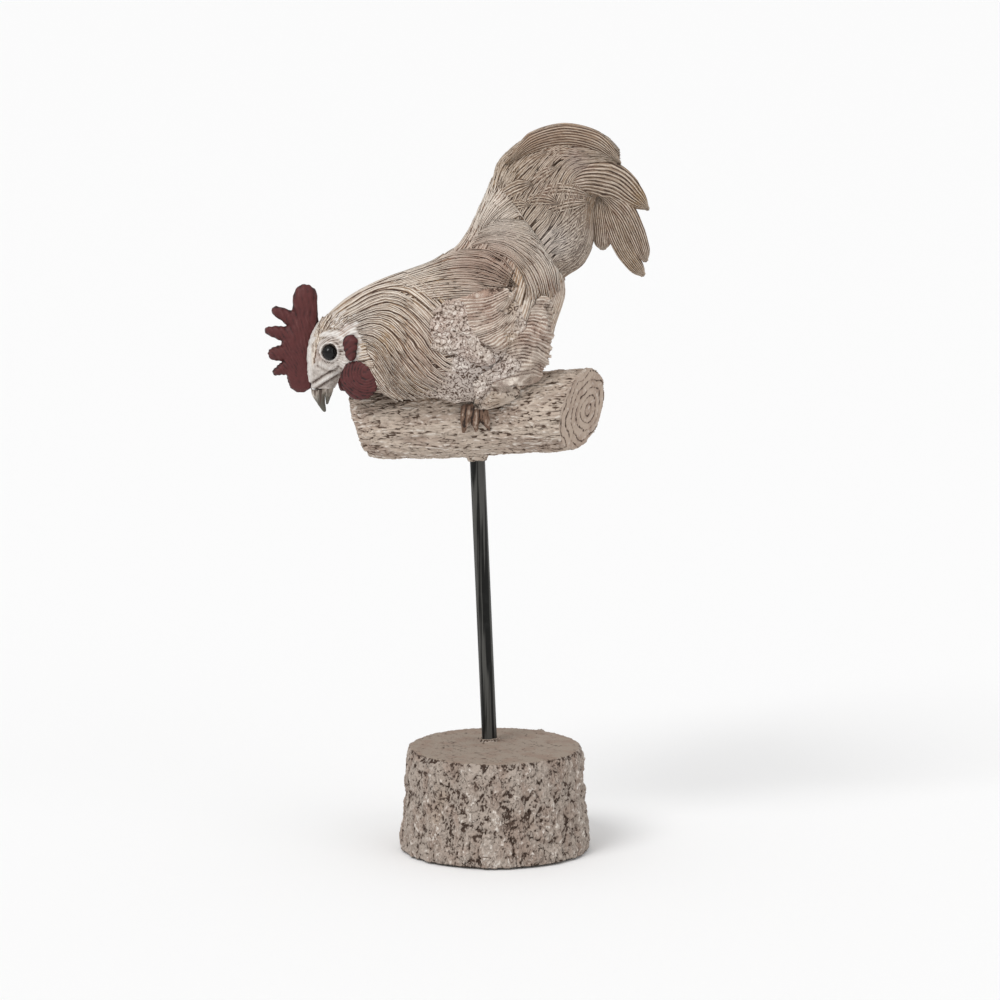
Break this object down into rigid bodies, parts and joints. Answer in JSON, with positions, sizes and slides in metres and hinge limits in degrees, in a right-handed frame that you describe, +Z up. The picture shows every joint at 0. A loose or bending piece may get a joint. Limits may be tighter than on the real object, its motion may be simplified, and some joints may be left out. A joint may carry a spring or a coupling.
{
  "type": "hen figurine",
  "caption": "Crouching hen ornament with an arched tail, on a short log carried by a slim rod over a round bark stump; rigid and free-standing, with a worn whitewashed look.",
  "frame": {"origin": "middle of the felt's underside, on the surface that the figurine stands on", "axes": "+Z up, the hen faces -X, its left side faces -Y"},
  "size_m": [0.2025, 0.1005, 0.3824],
  "materials": {
    "feather_resin": "cast resin, pinkish brown with a dry-brushed whitewash on the ridges and dark stain in the grooves",
    "bark_resin": "cast resin, matte taupe bark with dark brown cracks",
    "comb_resin": "cast resin, matte maroon with lighter rubbed ridges",
    "horn_resin": "cast resin, worn horn with a dark grey-green tip",
    "skin_resin": "cast resin, dark brown scaly skin under a thin whitewash",
    "eye_gloss": "near-black gloss bead",
    "rod_black": "black satin lacquer",
    "felt": "thin black self-adhesive felt"
  },
  "bodies": {
    "root": {"stump": "bark_resin", "felt_pad": "felt", "rod": "rod_black", "log": "bark_resin", "hen_body": "feather_resin", "tail": "feather_resin", "comb": "comb_resin", "beak_upper": "horn_resin", "beak_lower": "horn_resin", "eye_left": "eye_gloss", "eye_right": "eye_gloss", "earlobe_left": "comb_resin", "earlobe_right": "comb_resin", "wattle_left": "comb_resin", "wattle_right": "comb_resin", "wing_left": "feather_resin", "wing_right": "feather_resin", "thigh_left": "feather_resin", "thigh_right": "feather_resin", "foot_left": "skin_resin", "foot_right": "skin_resin"}
  },
  "joints": []
}
